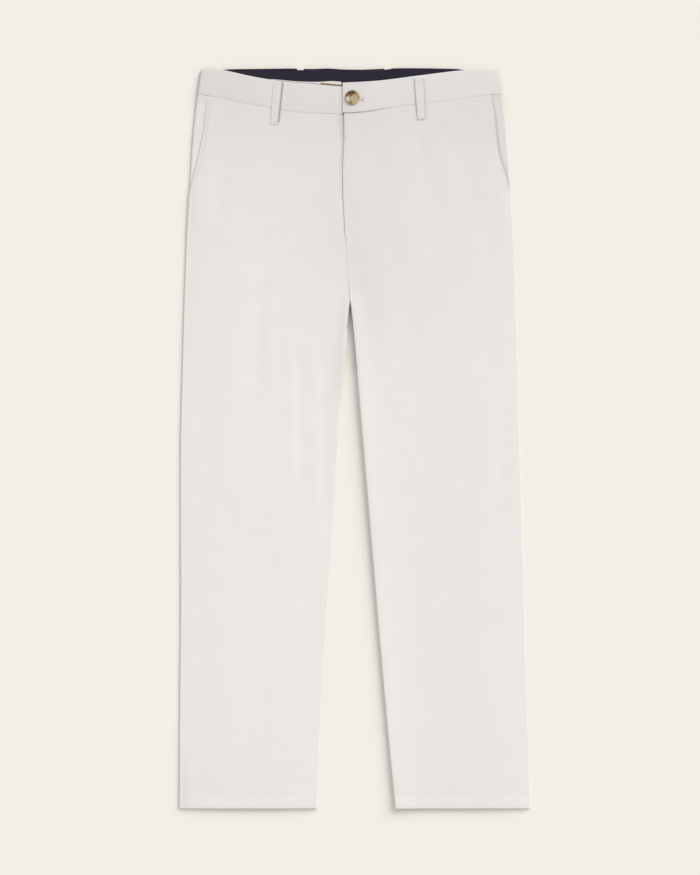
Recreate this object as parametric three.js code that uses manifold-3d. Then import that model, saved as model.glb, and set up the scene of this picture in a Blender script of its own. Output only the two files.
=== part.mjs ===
// A pair of chino trousers laid flat with the front up, in millimetres.
// +X is right of the view, +Y runs from the hems to the waist, +Z is up from the surface.
// Left and right in the names are the wearer's, so the right leg is on the -X side.

import * as THREE from 'three';
import Module from 'manifold-3d';

const { lerp, clamp, smoothstep, degToRad } = THREE.MathUtils;
const solids = await Module();
solids.setup();

// Cloth walls, and the gap between pieces that are sewn together
const CLOTH = 1.2;
const HEM_CLOTH = 2.0;
const BAND_CLOTH = 1.8;
const BACK_BAND_CLOTH = 1.4;
const LINING_CLOTH = 1.0;
const LOOP_CLOTH = 1.1;
const GAP = 0.3;

// Heights of the layers above the surface
const FRONT_TOP = 5.8;
const FRONT_SEAM = 2.5;
const BACK_SEAM = 2.2;
const BAND_TOP = 6.2;
const BAND_SEAM = 3.0;
const BACK_BAND_BASE = 1.4;
const BACK_BAND_SEAM = 2.6;
const LINING_BASE = 3.1;
const INNER_EDGE_BASE = 4.4;

// Widths of the rounded sides, where the front turns over to the back
const FRONT_ROLL = 3;
const BACK_ROLL = 4;
const ROLL_ANGLES = [0, 30, 60, 90];

// Hem, crotch and the back's waist seam, with the rise of the back panels up to it
const HEM_EDGE_Y = -548;
const HEM_DEPTH = 17;
const CROTCH_Y = 202.2;
const CENTRE_BACK_X = -7.4;
const BACK_SEAM_Y = 510.2;
const BACK_TOP_Y = 547;
const BACK_RISE = { startY: 466, endY: 486 };

// Outline: the outer and inner edge of each leg, a row for each height. Above the crotch
// the inner edges are the centre front seam, then the fly's edge.
const OUTLINE = [
  { y: -548, rightOuter: -260.2, rightInner: -55.6, leftInner: 59.2, leftOuter: 260.2 },
  { y: -452, rightOuter: -259.7, rightInner: -52.6, leftInner: 49.4, leftOuter: 256.6 },
  { y: -381, rightOuter: -260.2, rightInner: -49.0, leftInner: 42.9, leftOuter: 254.1 },
  { y: -287, rightOuter: -257.8, rightInner: -43.1, leftInner: 35.1, leftOuter: 251.7 },
  { y: -192, rightOuter: -257.4, rightInner: -36.7, leftInner: 27.1, leftOuter: 248.9 },
  { y: -97, rightOuter: -258.7, rightInner: -30.2, leftInner: 19.2, leftOuter: 246.7 },
  { y: -2, rightOuter: -258.1, rightInner: -24.7, leftInner: 11.0, leftOuter: 243.6 },
  { y: 45, rightOuter: -257.0, rightInner: -21.8, leftInner: 7.1, leftOuter: 242.6 },
  { y: 80, rightOuter: -256.2, rightInner: -16.3, leftInner: 4.4, leftOuter: 241.8 },
  { y: 130, rightOuter: -254.9, rightInner: -12.9, leftInner: 0.1, leftOuter: 240.3 },
  { y: 165, rightOuter: -253.8, rightInner: -10.8, leftInner: -2.8, leftOuter: 239.1 },
  { y: 202.2, rightOuter: -252.7, rightInner: -7.6, leftInner: -7.2, leftOuter: 238.0 },
  { y: 258, rightOuter: -250.4, rightInner: -11.4, leftInner: -11.4, leftOuter: 235.9 },
  { y: 305, rightOuter: -249.1, rightInner: -14.6, leftInner: -14.6, leftOuter: 234.4 },
  { y: 353, rightOuter: -246.4, rightInner: -17.2, leftInner: -17.2, leftOuter: 231.2 },
  { y: 400, rightOuter: -243.0, rightInner: -18.1, leftInner: -18.1, leftOuter: 228.1 },
  { y: 447, rightOuter: -240.4, rightInner: -15.6, leftInner: -15.6, leftOuter: 225.0 },
  { y: 471, rightOuter: -238.4, rightInner: -16.0, leftInner: -16.0, leftOuter: 222.7 },
  { y: 492, rightOuter: -235.1, rightInner: -16.4, leftInner: -16.4, leftOuter: 219.9 },
  { y: 510, rightOuter: -233.6, rightInner: -16.6, leftInner: -16.6, leftOuter: 218.6 },
  { y: 528, rightOuter: -231.9, rightInner: -16.8, leftInner: -16.8, leftOuter: 217.5 },
  { y: 548, rightOuter: -227.5, rightInner: -16.8, leftInner: -16.8, leftOuter: 212.1 },
];

// Slant pockets: how far each front's edge is set in from the outline, a row for each height
const POCKETS = [
  { y: 362, right: 0, left: 0 },
  { y: 366, right: 0, left: 0.6 },
  { y: 373, right: 2.5, left: 2.4 },
  { y: 386, right: 4.6, left: 3.9 },
  { y: 404, right: 8.0, left: 9.2 },
  { y: 424, right: 11.2, left: 13.0 },
  { y: 450, right: 15.2, left: 14.6 },
  { y: 478, right: 15.8, left: 14.4 },
  { y: 512, right: 16.0, left: 16.0 },
];

// Pocket side pieces: how far in from the outline they start, and how high they lie
const POCKET_SIDES = [
  { y: 358, start: 2.6, top: 3.4 },
  { y: 368, start: 2.6, top: 3.4 },
  { y: 376, start: 0, top: 3.4 },
  { y: 386, start: 0, top: 3.5 },
  { y: 424, start: 0, top: 3.7 },
  { y: 460, start: 0, top: 4.1 },
  { y: 512, start: 0, top: 4.1 },
];
const POCKET_SIDE_UNDER = 10;

// Waist lines: the waist seam, the top of the front band and the top of the back, a row for
// each place across. The left band's end laps over the right one at the fly.
const FLY_RIGHT_X = -19.0;
const FLY_LEFT_X = -18.4;
const WAIST = [
  { x: -236, seam: 510.0, frontTop: 546.0, backTop: 545.2 },
  { x: -218, seam: 507.3, frontTop: 547.3, backTop: 545.2 },
  { x: -194, seam: 503.0, frontTop: 545.3, backTop: 545.4 },
  { x: -157, seam: 494.7, frontTop: 536.4, backTop: 545.8 },
  { x: -124, seam: 488.5, frontTop: 530.6, backTop: 546.1 },
  { x: -87, seam: 482.6, frontTop: 526.4, backTop: 546.8 },
  { x: -62, seam: 481.3, frontTop: 524.8, backTop: 545.3 },
  { x: -43, seam: 480.8, frontTop: 522.7, backTop: 546.9 },
  { x: -30, seam: 480.4, frontTop: 521.8, backTop: 546.0 },
  { x: FLY_RIGHT_X, seam: 479.3, frontTop: 521.0, backTop: 545.1 },
  { x: FLY_LEFT_X, seam: 482.2, frontTop: 526.3, backTop: 545.1 },
  { x: 3, seam: 482.4, frontTop: 527.4, backTop: 544.7 },
  { x: 13, seam: 483.0, frontTop: 527.6, backTop: 544.9 },
  { x: 24, seam: 485.2, frontTop: 527.7, backTop: 545.2 },
  { x: 53, seam: 490.1, frontTop: 531.4, backTop: 546.8 },
  { x: 90, seam: 494.7, frontTop: 536.5, backTop: 547.2 },
  { x: 133, seam: 499.4, frontTop: 541.9, backTop: 546.2 },
  { x: 160, seam: 503.5, frontTop: 545.6, backTop: 545.8 },
  { x: 198, seam: 508.8, frontTop: 545.4, backTop: 545.4 },
  { x: 221, seam: 509.6, frontTop: 545.2, backTop: 545.0 },
];

// The largest soft folds of the front: the two ends of each, how far it spreads to the
// sides and how high it stands (below zero is a trough)
const FOLDS = [
  { x0: -129, y0: 308, x1: -144, y1: 60, spread: 24, height: -0.45 },
  { x0: -172, y0: 280, x1: -178, y1: -20, spread: 26, height: 0.35 },
  { x0: -82, y0: 150, x1: -78, y1: -70, spread: 18, height: -0.4 },
  { x0: -110, y0: 190, x1: -106, y1: -120, spread: 17, height: 0.35 },
  { x0: -47, y0: 130, x1: -42, y1: -130, spread: 14, height: -0.35 },
  { x0: 40, y0: 430, x1: 46, y1: 250, spread: 28, height: -0.4 },
  { x0: 150, y0: 330, x1: 185, y1: 150, spread: 36, height: -0.35 },
  { x0: 218, y0: 30, x1: 202, y1: -150, spread: 16, height: -0.3 },
  { x0: 130, y0: -40, x1: 140, y1: -330, spread: 34, height: 0.3 },
];

// How much higher or lower the front lies along each side of a leg than in its middle, how
// far in that spreads, and the heights over which it ends. The left leg's inner side is
// lifted, and the others lie flatter.
const SIDE_LIFTS = [
  { column: 'rightOuter', lift: -1.9, spread: 42, endY: 270, goneY: 345 },
  { column: 'rightInner', lift: -1.9, spread: 34, endY: 90, goneY: 190 },
  { column: 'leftInner', lift: 3.0, spread: 24, endY: 110, goneY: 200 },
  { column: 'leftOuter', lift: -1.9, spread: 42, endY: 270, goneY: 345 },
];
const HEM_LIFT = { height: 1.7, spread: 34 };

// The right front runs on under the fly flap: how far past the fly's edge, how far down it
// has dropped there, and how wide the dip down to it is
const UNDERLAP = [
  { y: 285, past: -GAP, drop: 0, dip: 3 },
  { y: 300, past: -GAP, drop: 1.5, dip: 3 },
  { y: 307, past: 9, drop: 1.5, dip: 3 },
  { y: 427, past: 9, drop: 1.5, dip: 6 },
  { y: 512, past: 9, drop: 1.5, dip: 7 },
];

// The lapping end of the left band lies over the right band's end
const BAND_LAP = { rise: 2.1, fullX: 24, endX: 60, underEndX: 16 };

// Belt loops: the middle and width of each end
const FRONT_LOOPS = [
  {
    side: 'right', topX: -113.9, topY: 528.6, topWidth: 13.4, endX: -119.3, endY: 464.5, endWidth: 11.5,
  },
  {
    side: 'left', topX: 94.1, topY: 533.2, topWidth: 13.0, endX: 98.3, endY: 472.0, endWidth: 11.4,
  },
];
const BACK_LOOPS = [
  { side: 'right', x: -80.8, width: 10.1 },
  { side: 'left', x: 48.4, width: 10.4 },
];
const LOOP_EASE = { side: 1.2, drop: 0.3 };
// How a front loop lies from its top (share 0) to its end: over the band, then on the panel
const FRONT_LOOP_SHAPE = [
  { share: 0, base: 6.5 },
  { share: 0.08, base: 6.5 },
  { share: 0.45, base: 6.9 },
  { share: 0.72, base: 6.6 },
  { share: 0.93, base: 6.1 },
  { share: 1, base: 6.1 },
];
// A back loop lies under the back band and turns over its top edge onto the dark cloth: its
// outer and inner face, a row for each place along it
const BACK_LOOP_PATH = [
  { outerY: 488, outerZ: 0, innerY: 488, innerZ: 1.1 },
  { outerY: 520, outerZ: 0, innerY: 520, innerZ: 1.1 },
  { outerY: 547.3, outerZ: 0, innerY: 547.0, innerZ: 1.1 },
  { outerY: 548, outerZ: 0.7, innerY: 547.2, innerZ: 1.3 },
  { outerY: 548, outerZ: 4.7, innerY: 547.2, innerZ: 4.4 },
  { outerY: 547.3, outerZ: 5.4, innerY: 547.0, innerZ: 4.6 },
  { outerY: 545, outerZ: 5.4, innerY: 545, innerZ: 4.6 },
];

// Light inner edge that stands above the right band's end, and the piping along the band
const INNER_EDGE = [
  { x: -124, top: 531.8 },
  { x: -104, top: 529.9 },
  { x: -87, top: 528.2 },
  { x: -62, top: 527.4 },
  { x: -49, top: 527.7 },
  { x: -33, top: 529.1 },
  { x: -20, top: 527.5 },
];
const PIPING = { startX: -55, endX: -20, width: 1.7, height: 1.0 };

// Zip, measured across from the fly's edge
const ZIP_TAPE = { startY: 306, endY: 470, from: 1, to: 27, base: 1.8, height: 1.0 };
const ZIP_COIL = { startY: 309, endY: 455, centre: 14, width: 5, height: 0.8 };
const ZIP_SLIDER = { startY: 457, endY: 467, width: 8, height: 1.0 };

// Waist button: half its outline from the middle out, and its four holes
const BUTTON = { x: -3.8, y: 504.2, segments: 32 };
const BUTTON_PROFILE = [
  [0, 0], [9.2, 0], [10.5, 0.8], [10.5, 1.9], [9.6, 2.8], [8.2, 2.8], [7.2, 2.0], [0, 2.0],
];
const BUTTON_HOLE = { radius: 1.0, offset: 2.4, firstAngle: 25, segments: 12 };

// Colours
const TWILL = 0xe3dcd6;
const NAVY = 0x2f2d3b;
const TAN = 0xa8825c;
const ZIP_COLOUR = 0xd9d2c6;
const METAL = 0xb0a99c;
const HORN = 0x6b4a30;

// The value in a table's column at a place along its key
function valueAt(table, key, column, at) {
  let i = 0;
  while (i < table.length - 2 && at > table[i + 1][key]) {
    i += 1;
  }
  const low = table[i];
  const high = table[i + 1];
  const share = clamp((at - low[key]) / (high[key] - low[key]), 0, 1);
  return lerp(low[column], high[column], share);
}

const outlineX = (column, y) => valueAt(OUTLINE, 'y', column, y);
const waistY = (column, x) => valueAt(WAIST, 'x', column, x);

function namedMesh(name, color, roughness, geometry) {
  geometry.computeVertexNormals();
  const material = new THREE.MeshStandardMaterial({ color, roughness });
  const mesh = new THREE.Mesh(geometry, material);
  mesh.name = name;
  return mesh;
}

// A closed solid between two grids of points, rows toward +Y and columns toward +X
function slab(name, color, upper, lower) {
  const rows = upper.length;
  const columns = upper[0].length;
  const under = rows * columns;
  const faces = [];
  const quad = (a, b, c, d) => {
    faces.push(a, b, c, a, c, d);
  };
  for (let r = 0; r < rows - 1; r += 1) {
    for (let c = 0; c < columns - 1; c += 1) {
      const a = r * columns + c;
      quad(a, a + 1, a + columns + 1, a + columns);
      quad(under + a, under + a + columns, under + a + columns + 1, under + a + 1);
    }
    const left = r * columns;
    const right = left + columns - 1;
    quad(left, left + columns, under + left + columns, under + left);
    quad(right, under + right, under + right + columns, right + columns);
  }
  for (let c = 0; c < columns - 1; c += 1) {
    const last = (rows - 1) * columns + c;
    quad(c, under + c, under + c + 1, c + 1);
    quad(last, last + 1, under + last + 1, under + last);
  }
  const coordinates = [...upper.flat(), ...lower.flat()].flatMap((p) => [p.x, p.y, p.z]);
  const geometry = new THREE.BufferGeometry();
  geometry.setAttribute('position', new THREE.Float32BufferAttribute(coordinates, 3));
  geometry.setIndex(faces);
  return namedMesh(name, color, 0.9, geometry);
}

// A solid from rows of places: pointsAt gives the upper and lower point of a place
function slabFrom(name, color, grid, pointsAt) {
  const pairs = grid.map((row) => row.map(pointsAt));
  const upper = pairs.map((row) => row.map((pair) => pair[0]));
  const lower = pairs.map((row) => row.map((pair) => pair[1]));
  return slab(name, color, upper, lower);
}

// A straight-sided place: its upper point and the one straight below
function flatPair(x, y, top, depth) {
  return [new THREE.Vector3(x, y, top), new THREE.Vector3(x, y, top - depth)];
}

// A place on a side that rounds from its seam to its flat part: the outer point and the
// inner one, depth away. edge is the outline there, inward is +1 or -1 along X and
// distance is measured in from the edge.
function rolledPair(edge, inward, y, distance, depth, seamZ, flatZ, roll) {
  const angle = Math.acos(1 - Math.min(distance, roll) / roll);
  const up = Math.sign(flatZ - seamZ);
  const outer = new THREE.Vector3(
    edge + inward * distance,
    y,
    seamZ + (flatZ - seamZ) * Math.sin(angle),
  );
  const inner = new THREE.Vector3(
    edge + inward * (distance + depth * Math.cos(angle)),
    y,
    seamZ + (flatZ - seamZ - up * depth) * Math.sin(angle),
  );
  return [outer, inner];
}

const rollSteps = (roll) => ROLL_ANGLES.map((angle) => roll * (1 - Math.cos(degToRad(angle))));

// Places across a strip: steps in from each end, and even steps between
function placesAcross(startX, endX, startSteps, endSteps, between) {
  const first = startX + startSteps[startSteps.length - 1];
  const last = endX - endSteps[endSteps.length - 1];
  const middle = [];
  for (let i = 1; i <= between; i += 1) {
    middle.push(lerp(first, last, i / (between + 1)));
  }
  return [
    ...startSteps.map((step) => startX + step),
    ...middle,
    ...[...endSteps].reverse().map((step) => endX - step),
  ];
}

// Height that the soft folds add to the front
function foldHeight(x, y) {
  let height = 0;
  for (const fold of FOLDS) {
    const along = new THREE.Vector2(fold.x1 - fold.x0, fold.y1 - fold.y0);
    const from = new THREE.Vector2(x - fold.x0, y - fold.y0);
    const share = clamp(from.dot(along) / along.lengthSq(), 0, 1);
    const away = from.sub(along.multiplyScalar(share)).length();
    height += fold.height * Math.exp(-((away / fold.spread) ** 2));
  }
  return height;
}

// Height that the lie of a leg's sides and hem adds to the front
function lieHeight(x, y) {
  let height = HEM_LIFT.height * Math.exp(-(((y - HEM_EDGE_Y) / HEM_LIFT.spread) ** 2));
  for (const { column, lift, spread, endY, goneY } of SIDE_LIFTS) {
    const away = x - outlineX(column, y);
    height += lift * Math.exp(-((away / spread) ** 2)) * (1 - smoothstep(y, endY, goneY));
  }
  return height;
}

// Across a hem: its edge is eased down, and its stitched line is a shallow groove
const HEM_SHAPE = [
  { y: HEM_EDGE_Y, dip: 0.7 },
  { y: HEM_EDGE_Y + 3, dip: 0 },
  { y: HEM_EDGE_Y + HEM_DEPTH - 2, dip: 0 },
  { y: HEM_EDGE_Y + HEM_DEPTH, dip: 0.4 },
  { y: HEM_EDGE_Y + HEM_DEPTH + 3, dip: 0 },
];
const hemDip = (y) => valueAt(HEM_SHAPE, 'y', 'dip', y);
const legCloth = (y) => (y < HEM_EDGE_Y + HEM_DEPTH - 1 ? HEM_CLOTH : CLOTH);

// Heights of the rows of a front panel, up to where they start to bend to the waist seam
const LEG_ROWS = [
  ...HEM_SHAPE.map((row) => row.y),
  -452, -381, -287, -192, -97, -2, 45, 80, 130, 165, 190, CROTCH_Y,
];
const FRONT_ROWS = [
  ...LEG_ROWS,
  203.7, 205.2, 209, 225, 258, 285, 300, 307, 330, 353, 362, 366, 373, 386, 404, 424, 450,
];
const LAST_LEVEL_Y = FRONT_ROWS[FRONT_ROWS.length - 1];
const WAIST_SHARES = [0.5, 1];
const FRONT_BETWEEN = 8;

// Places across a front panel at a height: from its outer edge to its inner edge
function frontPlaces(side, y) {
  const outer = outlineX(`${side}Outer`, y);
  const pocket = valueAt(POCKETS, 'y', side, y);
  const inner = outlineX(`${side}Inner`, y);
  const roll = rollSteps(FRONT_ROLL);
  if (side === 'left') {
    return placesAcross(inner, outer - pocket, roll, roll, FRONT_BETWEEN);
  }
  const past = y > CROTCH_Y ? valueAt(UNDERLAP, 'y', 'past', y) : 0;
  const drop = valueAt(UNDERLAP, 'y', 'drop', y);
  const dip = valueAt(UNDERLAP, 'y', 'dip', y);
  const under = Math.max(past, 1);
  const innerSteps = drop > 0 ? [0, under, under + dip / 2, under + dip] : roll;
  return placesAcross(outer + pocket, inner + past, roll, innerSteps, FRONT_BETWEEN);
}

// All places of a front panel: level rows, then rows that bend to the waist seam
function frontGrid(side) {
  const ends = side === 'right' ? [-236, FLY_RIGHT_X] : [FLY_LEFT_X, 221];
  const seamAt = (x) => waistY('seam', clamp(x, ends[0], ends[1])) - GAP;
  const grid = FRONT_ROWS.map((y) => frontPlaces(side, y).map((x) => ({ x, y })));
  for (const share of WAIST_SHARES) {
    grid.push(frontPlaces(side, LAST_LEVEL_Y).map((start, i) => {
      let x = start;
      let y = LAST_LEVEL_Y;
      for (let pass = 0; pass < 3; pass += 1) {
        y = lerp(LAST_LEVEL_Y, seamAt(x), share);
        x = frontPlaces(side, y)[i];
      }
      return { x, y };
    }));
  }
  return grid;
}

// One front panel: a leg tube's upper half with the pocket mouth in its outer edge
function frontPanel(side) {
  const isRight = side === 'right';
  const inward = isRight ? 1 : -1;
  const grid = frontGrid(side);
  return slabFrom(`front_panel_${side}`, TWILL, grid, ({ x, y }) => {
    const outer = outlineX(`${side}Outer`, y);
    const inner = outlineX(`${side}Inner`, y);
    const depth = legCloth(y);
    const flatZ = FRONT_TOP + foldHeight(x, y) + lieHeight(x, y) - hemDip(y);
    const fromOuter = inward * (x - outer);
    const fromInner = inward * (inner - x);
    if (fromOuter < FRONT_ROLL) {
      return rolledPair(outer, inward, y, fromOuter, depth, FRONT_SEAM, flatZ, FRONT_ROLL);
    }
    if (y <= CROTCH_Y && fromInner < FRONT_ROLL) {
      return rolledPair(inner, -inward, y, fromInner, depth, FRONT_SEAM, flatZ, FRONT_ROLL);
    }
    const fromCrotch = Math.min(Math.hypot(x - inner, y - CROTCH_Y), FRONT_ROLL);
    const angle = Math.acos(1 - fromCrotch / FRONT_ROLL);
    const crotchZ = FRONT_SEAM + (flatZ - FRONT_SEAM) * Math.sin(angle);
    const dip = valueAt(UNDERLAP, 'y', 'dip', y);
    const drop = isRight ? valueAt(UNDERLAP, 'y', 'drop', y) : 0;
    const dropped = drop * smoothstep(-fromInner, -dip, -1);
    return flatPair(x, y, crotchZ - dropped, depth);
  });
}

// One back panel: a leg tube's lower half, flat on the surface. It rises to the waist seam
// over the ends of the belt loops.
function backPanel(side) {
  const isRight = side === 'right';
  const inward = isRight ? 1 : -1;
  const rows = [
    ...LEG_ROWS, 204, 209, 258, 330, 400, 440, BACK_RISE.startY,
    (BACK_RISE.startY + BACK_RISE.endY) / 2, BACK_RISE.endY, BACK_SEAM_Y,
  ];
  const roll = rollSteps(BACK_ROLL);
  const innerAt = (y) => (
    y > CROTCH_Y ? CENTRE_BACK_X - inward * GAP / 2 : outlineX(`${side}Inner`, y)
  );
  const grid = rows.map((y) => {
    const edges = [outlineX(`${side}Outer`, y), innerAt(y)].sort((a, b) => a - b);
    return placesAcross(edges[0], edges[1], roll, roll, 3).map((x) => ({ x, y }));
  });
  return slabFrom(`back_panel_${side}`, TWILL, grid, ({ x, y }) => {
    const outer = outlineX(`${side}Outer`, y);
    const inner = innerAt(y);
    const depth = legCloth(y);
    const base = BACK_BAND_BASE * smoothstep(y, BACK_RISE.startY, BACK_RISE.endY);
    const fromOuter = inward * (x - outer);
    const fromInner = inward * (inner - x);
    if (fromOuter < BACK_ROLL) {
      return rolledPair(outer, inward, y, fromOuter, depth, BACK_SEAM, base, BACK_ROLL).reverse();
    }
    if (y <= CROTCH_Y && fromInner < BACK_ROLL) {
      return rolledPair(inner, -inward, y, fromInner, depth, BACK_SEAM, base, BACK_ROLL).reverse();
    }
    const fromCrotch = Math.min(Math.hypot(x - inner, y - CROTCH_Y), BACK_ROLL);
    const angle = Math.acos(1 - fromCrotch / BACK_ROLL);
    const crotchZ = BACK_SEAM + (base - BACK_SEAM) * Math.sin(angle);
    return flatPair(x, y, crotchZ + depth, depth);
  });
}

// The cloth that shows in a slant pocket's mouth, sewn to the back at the side
function pocketSide(side) {
  const inward = side === 'right' ? 1 : -1;
  const rows = [358, 368, 373, 376, 386, 404, 424, 450, 480, BACK_SEAM_Y];
  const roll = rollSteps(FRONT_ROLL);
  const grid = rows.map((level) => {
    const start = valueAt(POCKET_SIDES, 'y', 'start', level);
    const mouth = valueAt(POCKETS, 'y', side, level);
    const share = 1 - start / FRONT_ROLL;
    const distances = roll.map((step) => start + step * share);
    distances.push(Math.max(mouth, 5) + POCKET_SIDE_UNDER);
    const places = distances.map((distance) => {
      const edge = outlineX(`${side}Outer`, level);
      const seam = waistY('seam', edge + inward * distance) - GAP;
      return { distance, y: Math.min(level, seam) };
    });
    return inward > 0 ? places : places.reverse();
  });
  return slabFrom(`pocket_side_${side}`, TWILL, grid, ({ distance, y }) => {
    const edge = outlineX(`${side}Outer`, y);
    const top = valueAt(POCKET_SIDES, 'y', 'top', y);
    return rolledPair(edge, inward, y, distance, CLOTH, FRONT_SEAM, top, FRONT_ROLL);
  });
}

// Steps up a band from its seam (share 0) to its top (share 1), with both edges eased down
const BAND_ROWS = [
  { share: 0, ease: 0.5 },
  { share: 0.06, ease: 0 },
  { share: 0.94, ease: 0 },
  { share: 1, ease: 0.5 },
];

// One side of the front waistband, from the rounded side to its end at the fly
function frontBand(side) {
  const isRight = side === 'right';
  const inward = isRight ? 1 : -1;
  const roll = rollSteps(FRONT_ROLL);
  const outerX = outlineX(`${side}Outer`, BACK_SEAM_Y);
  const seamPlaces = frontGrid(side).pop().map((place) => place.x);
  const along = isRight
    ? [...seamPlaces.filter((x) => x < FLY_RIGHT_X), FLY_RIGHT_X, FLY_LEFT_X, BAND_LAP.underEndX]
    : [FLY_LEFT_X, ...seamPlaces];
  const ends = roll.map((distance) => ({ distance, x: outerX + inward * distance }));
  const flat = along.map((x) => ({ distance: Infinity, x }));
  const places = isRight ? [...ends, ...flat] : [...flat, ...ends.reverse()];
  const topAt = (x) => waistY('frontTop', isRight ? Math.min(x, FLY_RIGHT_X) : x);
  const grid = BAND_ROWS.map((row) => places.map((place) => ({ ...place, ...row })));
  return slabFrom(`waistband_front_${side}`, TWILL, grid, ({ distance, x, share, ease }) => {
    const y = lerp(waistY('seam', x), topAt(x), share);
    const lap = isRight ? 0 : 1 - smoothstep(x, BAND_LAP.fullX, BAND_LAP.endX);
    const flatZ = BAND_TOP + BAND_LAP.rise * lap;
    if (distance < FRONT_ROLL * 2) {
      const edge = outlineX(`${side}Outer`, y);
      const depth = BAND_CLOTH - ease;
      return rolledPair(edge, inward, y, distance, depth, BAND_SEAM, flatZ - ease, FRONT_ROLL);
    }
    return flatPair(x, y, flatZ - ease, BAND_CLOTH - ease);
  });
}

// The back waistband, whose sides round up to meet the front one
function backBand() {
  const roll = rollSteps(BACK_ROLL);
  const along = WAIST.map((row) => row.x).filter((x) => x > -220 && x < 205);
  const places = [
    ...roll.map((distance) => ({ side: 'right', distance, x: -231 + distance })),
    ...along.map((x) => ({ side: 'middle', distance: 0, x })),
    ...roll.map((distance) => ({ side: 'left', distance, x: 217 - distance })).reverse(),
  ];
  const grid = [0, 0.5, 1].map((share) => places.map((place) => ({ ...place, share })));
  return slabFrom('waistband_back', TWILL, grid, ({ side, distance, x, share }) => {
    const y = lerp(BACK_SEAM_Y + GAP, waistY('backTop', x) - GAP, share);
    if (side === 'middle') {
      return flatPair(x, y, BACK_BAND_BASE + BACK_BAND_CLOTH, BACK_BAND_CLOTH);
    }
    const inward = side === 'right' ? 1 : -1;
    const edge = outlineX(`${side}Outer`, y);
    const pair = rolledPair(
      edge, inward, y, distance, BACK_BAND_CLOTH, BACK_BAND_SEAM, BACK_BAND_BASE, BACK_ROLL,
    );
    return pair.reverse();
  });
}

// The dark cloth inside the back waist
function waistLining() {
  const startX = outlineX('rightOuter', BACK_TOP_Y) + FRONT_ROLL + 1;
  const endX = outlineX('leftOuter', BACK_TOP_Y) - FRONT_ROLL - 1;
  const along = [startX, ...WAIST.map((row) => row.x).filter((x) => x > startX && x < endX), endX];
  const grid = [0, 0.5, 1].map((share) => along.map((x) => ({ x, share })));
  return slabFrom('waist_lining_back', NAVY, grid, ({ x, share }) => {
    const y = lerp(BACK_SEAM_Y + 2 * GAP, waistY('backTop', x), share);
    return flatPair(x, y, LINING_BASE + LINING_CLOTH, LINING_CLOTH);
  });
}

// The light inner edge that stands above the right band's end
function innerEdge() {
  const grid = [0, 1].map((share) => INNER_EDGE.map((row) => ({ ...row, share })));
  return slabFrom('waist_inner_edge', TWILL, grid, ({ x, top, share }) => {
    const y = lerp(waistY('frontTop', x) + 2 * GAP, top, share);
    return flatPair(x, y, INNER_EDGE_BASE + LINING_CLOTH, LINING_CLOTH);
  });
}

// The tan piping along the top of the right band's end
function piping() {
  const across = [
    { offset: 0, ease: 0.4 },
    { offset: PIPING.width * 0.3, ease: 0 },
    { offset: PIPING.width * 0.7, ease: 0 },
    { offset: PIPING.width, ease: 0.4 },
  ];
  const along = [PIPING.startX, -43, -30, PIPING.endX];
  const grid = across.map((row) => along.map((x) => ({ ...row, x })));
  return slabFrom('waist_piping', TAN, grid, ({ x, offset, ease }) => {
    const y = waistY('frontTop', x) + 2 * GAP + offset;
    const top = INNER_EDGE_BASE + LINING_CLOTH + GAP + PIPING.height;
    return flatPair(x, y, top - ease, PIPING.height - ease);
  });
}

// A front belt loop: a narrow folded strip, its long edges eased down
function frontLoop(loop) {
  const across = [
    { place: -1, inset: 0, ease: LOOP_EASE.drop },
    { place: -1, inset: LOOP_EASE.side, ease: 0 },
    { place: 1, inset: LOOP_EASE.side, ease: 0 },
    { place: 1, inset: 0, ease: LOOP_EASE.drop },
  ];
  const rows = [...FRONT_LOOP_SHAPE].reverse();
  const grid = rows.map((row) => across.map((column) => ({ ...row, ...column })));
  return slabFrom(`belt_loop_front_${loop.side}`, TWILL, grid, (at) => {
    const { share, base, place, inset, ease } = at;
    const halfWidth = lerp(loop.topWidth, loop.endWidth, share) / 2;
    const x = lerp(loop.topX, loop.endX, share) + place * (halfWidth - inset);
    const y = lerp(loop.topY, loop.endY, share);
    return flatPair(x, y, base + LOOP_CLOTH - ease, LOOP_CLOTH - ease);
  });
}

function backLoop(loop) {
  const grid = BACK_LOOP_PATH.map((row) => [-1, 1].map((place) => ({ ...row, place })));
  return slabFrom(`belt_loop_back_${loop.side}`, TWILL, grid, (at) => {
    const x = loop.x + at.place * loop.width / 2;
    const outer = new THREE.Vector3(x, at.outerY, at.outerZ);
    const inner = new THREE.Vector3(x, at.innerY, at.innerZ);
    return [inner, outer];
  });
}

// The zip's tapes with the closed coil standing along their middle
function zipTape() {
  const { centre, width } = ZIP_COIL;
  const coil = { from: centre - width / 2, to: centre + width / 2 };
  const slope = 0.1;
  const across = [
    ZIP_TAPE.from, coil.from - slope, coil.from, coil.to, coil.to + slope, ZIP_TAPE.to,
  ];
  const along = [
    ZIP_TAPE.startY, ZIP_COIL.startY - slope, ZIP_COIL.startY,
    ZIP_COIL.endY, ZIP_COIL.endY + slope, ZIP_TAPE.endY,
  ];
  const grid = along.map((y) => across.map((offset) => ({ y, offset })));
  return slabFrom('fly_zip_tape', ZIP_COLOUR, grid, ({ y, offset }) => {
    const x = outlineX('leftInner', y) + offset;
    const onCoil = offset >= coil.from && offset <= coil.to
      && y >= ZIP_COIL.startY && y <= ZIP_COIL.endY;
    const height = ZIP_TAPE.height + (onCoil ? ZIP_COIL.height : 0);
    return flatPair(x, y, ZIP_TAPE.base + height, height);
  });
}

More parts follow.
